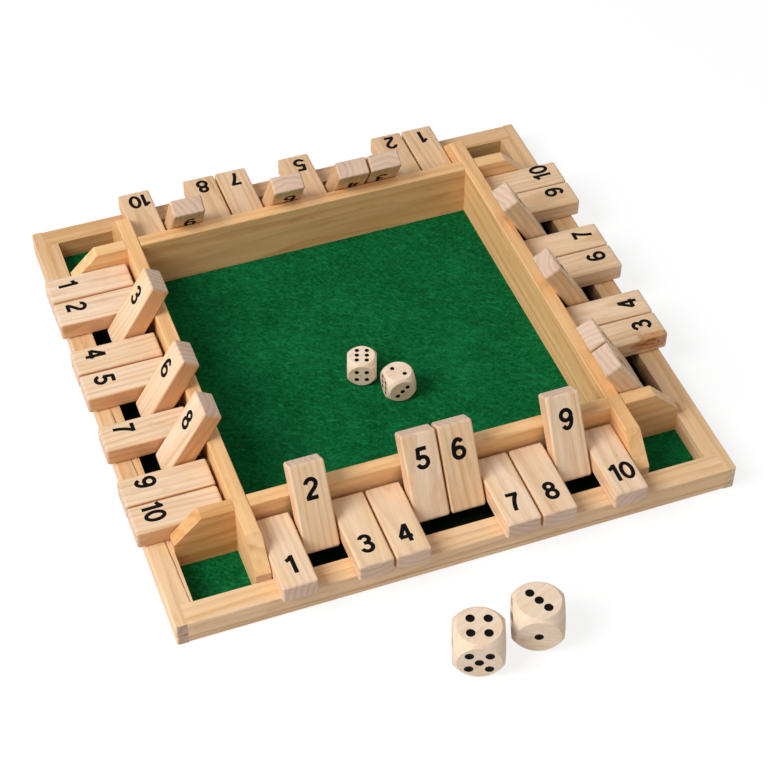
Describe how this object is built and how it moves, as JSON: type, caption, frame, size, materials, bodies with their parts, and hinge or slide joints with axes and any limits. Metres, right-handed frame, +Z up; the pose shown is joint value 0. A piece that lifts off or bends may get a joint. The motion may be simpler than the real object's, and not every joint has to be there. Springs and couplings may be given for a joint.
{
  "type": "shut the box game",
  "caption": "Low square wooden tray with a green felt floor, rows of hinged number tiles along all sides, corner pockets and loose dice.",
  "frame": {"origin": "centre of the box's underside, on the table", "axes": "+X to the right of the player at the front, +Y towards the rear player, +Z up"},
  "size_m": [0.3084, 0.3757, 0.0543],
  "materials": {
    "plywood": "bare plywood",
    "green_felt": "glued felt",
    "frame_pine": "satin clear lacquer",
    "wall_pine": "satin clear lacquer",
    "tile_pine": "satin clear lacquer with black printed numbers",
    "rod_steel": "drawn rod",
    "die_wood": "bare pale wood with pips painted black"
  },
  "bodies": {
    "tray_box": {"base_panel": "plywood", "felt_lining": "green_felt", "left_rail": "frame_pine", "right_rail": "frame_pine", "front_rail": "frame_pine", "rear_rail": "frame_pine", "left_long_wall": "wall_pine", "right_long_wall": "wall_pine", "front_cross_wall": "wall_pine", "rear_cross_wall": "wall_pine", "front_dividers": "wall_pine", "rear_dividers": "wall_pine", "front_rod": "rod_steel", "right_rod": "rod_steel", "rear_rod": "rod_steel", "left_rod": "rod_steel"},
    "front_tile_1": {"front_tile_1": "tile_pine"},
    "front_tile_2": {"front_tile_2": "tile_pine"},
    "front_tile_3": {"front_tile_3": "tile_pine"},
    "front_tile_4": {"front_tile_4": "tile_pine"},
    "front_tile_5": {"front_tile_5": "tile_pine"},
    "front_tile_6": {"front_tile_6": "tile_pine"},
    "front_tile_7": {"front_tile_7": "tile_pine"},
    "front_tile_8": {"front_tile_8": "tile_pine"},
    "front_tile_9": {"front_tile_9": "tile_pine"},
    "front_tile_10": {"front_tile_10": "tile_pine"},
    "right_tile_1": {"right_tile_1": "tile_pine"},
    "right_tile_2": {"right_tile_2": "tile_pine"},
    "right_tile_3": {"right_tile_3": "tile_pine"},
    "right_tile_4": {"right_tile_4": "tile_pine"},
    "right_tile_5": {"right_tile_5": "tile_pine"},
    "right_tile_6": {"right_tile_6": "tile_pine"},
    "right_tile_7": {"right_tile_7": "tile_pine"},
    "right_tile_8": {"right_tile_8": "tile_pine"},
    "right_tile_9": {"right_tile_9": "tile_pine"},
    "right_tile_10": {"right_tile_10": "tile_pine"},
    "rear_tile_1": {"rear_tile_1": "tile_pine"},
    "rear_tile_2": {"rear_tile_2": "tile_pine"},
    "rear_tile_3": {"rear_tile_3": "tile_pine"},
    "rear_tile_4": {"rear_tile_4": "tile_pine"},
    "rear_tile_5": {"rear_tile_5": "tile_pine"},
    "rear_tile_6": {"rear_tile_6": "tile_pine"},
    "rear_tile_7": {"rear_tile_7": "tile_pine"},
    "rear_tile_8": {"rear_tile_8": "tile_pine"},
    "rear_tile_9": {"rear_tile_9": "tile_pine"},
    "rear_tile_10": {"rear_tile_10": "tile_pine"},
    "left_tile_1": {"left_tile_1": "tile_pine"},
    "left_tile_2": {"left_tile_2": "tile_pine"},
    "left_tile_3": {"left_tile_3": "tile_pine"},
    "left_tile_4": {"left_tile_4": "tile_pine"},
    "left_tile_5": {"left_tile_5": "tile_pine"},
    "left_tile_6": {"left_tile_6": "tile_pine"},
    "left_tile_7": {"left_tile_7": "tile_pine"},
    "left_tile_8": {"left_tile_8": "tile_pine"},
    "left_tile_9": {"left_tile_9": "tile_pine"},
    "left_tile_10": {"left_tile_10": "tile_pine"},
    "tray_die_left": {"tray_die_left": "die_wood"},
    "tray_die_right": {"tray_die_right": "die_wood"},
    "large_die_left": {"large_die_left": "die_wood"},
    "large_die_right": {"large_die_right": "die_wood"}
  },
  "joints": [
    {"name": "front_tile_1_hinge", "type": "hinge", "parent": "tray_box", "child": "front_tile_1", "pos_m": [-0.08775, -0.11832, 0.0206], "axis": [-1, 0, 0], "range_deg": [0, 121.28]},
    {"name": "front_tile_2_hinge", "type": "hinge", "parent": "tray_box", "child": "front_tile_2", "pos_m": [-0.06825, -0.11832, 0.0206], "axis": [-1, 0, 0], "range_deg": [-121.28, 0]},
    {"name": "front_tile_3_hinge", "type": "hinge", "parent": "tray_box", "child": "front_tile_3", "pos_m": [-0.04875, -0.11832, 0.0206], "axis": [-1, 0, 0], "range_deg": [0, 121.28]},
    {"name": "front_tile_4_hinge", "type": "hinge", "parent": "tray_box", "child": "front_tile_4", "pos_m": [-0.02925, -0.11832, 0.0206], "axis": [-1, 0, 0], "range_deg": [0, 121.28]},
    {"name": "front_tile_5_hinge", "type": "hinge", "parent": "tray_box", "child": "front_tile_5", "pos_m": [-0.00975, -0.11832, 0.0206], "axis": [-1, 0, 0], "range_deg": [-121.28, 0]},
    {"name": "front_tile_6_hinge", "type": "hinge", "parent": "tray_box", "child": "front_tile_6", "pos_m": [0.00975, -0.11832, 0.0206], "axis": [-1, 0, 0], "range_deg": [-121.28, 0]},
    {"name": "front_tile_7_hinge", "type": "hinge", "parent": "tray_box", "child": "front_tile_7", "pos_m": [0.02925, -0.11832, 0.0206], "axis": [-1, 0, 0], "range_deg": [0, 121.28]},
    {"name": "front_tile_8_hinge", "type": "hinge", "parent": "tray_box", "child": "front_tile_8", "pos_m": [0.04875, -0.11832, 0.0206], "axis": [-1, 0, 0], "range_deg": [0, 121.28]},
    {"name": "front_tile_9_hinge", "type": "hinge", "parent": "tray_box", "child": "front_tile_9", "pos_m": [0.06825, -0.11832, 0.0206], "axis": [-1, 0, 0], "range_deg": [-121.28, 0]},
    {"name": "front_tile_10_hinge", "type": "hinge", "parent": "tray_box", "child": "front_tile_10", "pos_m": [0.08775, -0.11832, 0.0206], "axis": [-1, 0, 0], "range_deg": [0, 121.28]},
    {"name": "right_tile_1_hinge", "type": "hinge", "parent": "tray_box", "child": "right_tile_1", "pos_m": [0.11832, -0.08775, 0.0206], "axis": [0, -1, 0], "range_deg": [-121.28, 0]},
    {"name": "right_tile_2_hinge", "type": "hinge", "parent": "tray_box", "child": "right_tile_2", "pos_m": [0.11832, -0.06825, 0.0206], "axis": [0, -1, 0], "range_deg": [-121.28, 0]},
    {"name": "right_tile_3_hinge", "type": "hinge", "parent": "tray_box", "child": "right_tile_3", "pos_m": [0.11832, -0.04875, 0.0206], "axis": [0, -1, 0], "range_deg": [0, 121.28]},
    {"name": "right_tile_4_hinge", "type": "hinge", "parent": "tray_box", "child": "right_tile_4", "pos_m": [0.11832, -0.02925, 0.0206], "axis": [0, -1, 0], "range_deg": [0, 121.28]},
    {"name": "right_tile_5_hinge", "type": "hinge", "parent": "tray_box", "child": "right_tile_5", "pos_m": [0.11832, -0.00975, 0.0206], "axis": [0, -1, 0], "range_deg": [-121.28, 0]},
    {"name": "right_tile_6_hinge", "type": "hinge", "parent": "tray_box", "child": "right_tile_6", "pos_m": [0.11832, 0.00975, 0.0206], "axis": [0, -1, 0], "range_deg": [0, 121.28]},
    {"name": "right_tile_7_hinge", "type": "hinge", "parent": "tray_box", "child": "right_tile_7", "pos_m": [0.11832, 0.02925, 0.0206], "axis": [0, -1, 0], "range_deg": [0, 121.28]},
    {"name": "right_tile_8_hinge", "type": "hinge", "parent": "tray_box", "child": "right_tile_8", "pos_m": [0.11832, 0.04875, 0.0206], "axis": [0, -1, 0], "range_deg": [-121.28, 0]},
    {"name": "right_tile_9_hinge", "type": "hinge", "parent": "tray_box", "child": "right_tile_9", "pos_m": [0.11832, 0.06825, 0.0206], "axis": [0, -1, 0], "range_deg": [0, 121.28]},
    {"name": "right_tile_10_hinge", "type": "hinge", "parent": "tray_box", "child": "right_tile_10", "pos_m": [0.11832, 0.08775, 0.0206], "axis": [0, -1, 0], "range_deg": [0, 121.28]},
    {"name": "rear_tile_1_hinge", "type": "hinge", "parent": "tray_box", "child": "rear_tile_1", "pos_m": [0.08775, 0.11832, 0.0206], "axis": [1, 0, 0], "range_deg": [0, 121.28]},
    {"name": "rear_tile_2_hinge", "type": "hinge", "parent": "tray_box", "child": "rear_tile_2", "pos_m": [0.06825, 0.11832, 0.0206], "axis": [1, 0, 0], "range_deg": [0, 121.28]},
    {"name": "rear_tile_3_hinge", "type": "hinge", "parent": "tray_box", "child": "rear_tile_3", "pos_m": [0.04875, 0.11832, 0.0206], "axis": [1, 0, 0], "range_deg": [-121.28, 0]},
    {"name": "rear_tile_4_hinge", "type": "hinge", "parent": "tray_box", "child": "rear_tile_4", "pos_m": [0.02925, 0.11832, 0.0206], "axis": [1, 0, 0], "range_deg": [-121.28, 0]},
    {"name": "rear_tile_5_hinge", "type": "hinge", "parent": "tray_box", "child": "rear_tile_5", "pos_m": [0.00975, 0.11832, 0.0206], "axis": [1, 0, 0], "range_deg": [0, 121.28]},
    {"name": "rear_tile_6_hinge", "type": "hinge", "parent": "tray_box", "child": "rear_tile_6", "pos_m": [-0.00975, 0.11832, 0.0206], "axis": [1, 0, 0], "range_deg": [-121.28, 0]},
    {"name": "rear_tile_7_hinge", "type": "hinge", "parent": "tray_box", "child": "rear_tile_7", "pos_m": [-0.02925, 0.11832, 0.0206], "axis": [1, 0, 0], "range_deg": [0, 121.28]},
    {"name": "rear_tile_8_hinge", "type": "hinge", "parent": "tray_box", "child": "rear_tile_8", "pos_m": [-0.04875, 0.11832, 0.0206], "axis": [1, 0, 0], "range_deg": [0, 121.28]},
    {"name": "rear_tile_9_hinge", "type": "hinge", "parent": "tray_box", "child": "rear_tile_9", "pos_m": [-0.06825, 0.11832, 0.0206], "axis": [1, 0, 0], "range_deg": [-121.28, 0]},
    {"name": "rear_tile_10_hinge", "type": "hinge", "parent": "tray_box", "child": "rear_tile_10", "pos_m": [-0.08775, 0.11832, 0.0206], "axis": [1, 0, 0], "range_deg": [0, 121.28]},
    {"name": "left_tile_1_hinge", "type": "hinge", "parent": "tray_box", "child": "left_tile_1", "pos_m": [-0.11832, 0.08775, 0.0206], "axis": [0, 1, 0], "range_deg": [0, 121.28]},
    {"name": "left_tile_2_hinge", "type": "hinge", "parent": "tray_box", "child": "left_tile_2", "pos_m": [-0.11832, 0.06825, 0.0206], "axis": [0, 1, 0], "range_deg": [0, 121.28]},
    {"name": "left_tile_3_hinge", "type": "hinge", "parent": "tray_box", "child": "left_tile_3", "pos_m": [-0.11832, 0.04875, 0.0206], "axis": [0, 1, 0], "range_deg": [-121.28, 0]},
    {"name": "left_tile_4_hinge", "type": "hinge", "parent": "tray_box", "child": "left_tile_4", "pos_m": [-0.11832, 0.02925, 0.0206], "axis": [0, 1, 0], "range_deg": [0, 121.28]},
    {"name": "left_tile_5_hinge", "type": "hinge", "parent": "tray_box", "child": "left_tile_5", "pos_m": [-0.11832, 0.00975, 0.0206], "axis": [0, 1, 0], "range_deg": [0, 121.28]},
    {"name": "left_tile_6_hinge", "type": "hinge", "parent": "tray_box", "child": "left_tile_6", "pos_m": [-0.11832, -0.00975, 0.0206], "axis": [0, 1, 0], "range_deg": [-121.28, 0]},
    {"name": "left_tile_7_hinge", "type": "hinge", "parent": "tray_box", "child": "left_tile_7", "pos_m": [-0.11832, -0.02925, 0.0206], "axis": [0, 1, 0], "range_deg": [0, 121.28]},
    {"name": "left_tile_8_hinge", "type": "hinge", "parent": "tray_box", "child": "left_tile_8", "pos_m": [-0.11832, -0.04875, 0.0206], "axis": [0, 1, 0], "range_deg": [-121.28, 0]},
    {"name": "left_tile_9_hinge", "type": "hinge", "parent": "tray_box", "child": "left_tile_9", "pos_m": [-0.11832, -0.06825, 0.0206], "axis": [0, 1, 0], "range_deg": [0, 121.28]},
    {"name": "left_tile_10_hinge", "type": "hinge", "parent": "tray_box", "child": "left_tile_10", "pos_m": [-0.11832, -0.08775, 0.0206], "axis": [0, 1, 0], "range_deg": [0, 121.28]},
    {"name": "tray_die_left_lift", "type": "slide", "parent": "tray_box", "child": "tray_die_left", "axis": [0, 0, 1], "range_m": [0, 0.06]},
    {"name": "tray_die_right_lift", "type": "slide", "parent": "tray_box", "child": "tray_die_right", "axis": [0, 0, 1], "range_m": [0, 0.06]},
    {"name": "large_die_left_lift", "type": "slide", "parent": "tray_box", "child": "large_die_left", "axis": [0, 0, 1], "range_m": [0, 0.06]},
    {"name": "large_die_right_lift", "type": "slide", "parent": "tray_box", "child": "large_die_right", "axis": [0, 0, 1], "range_m": [0, 0.06]}
  ]
}
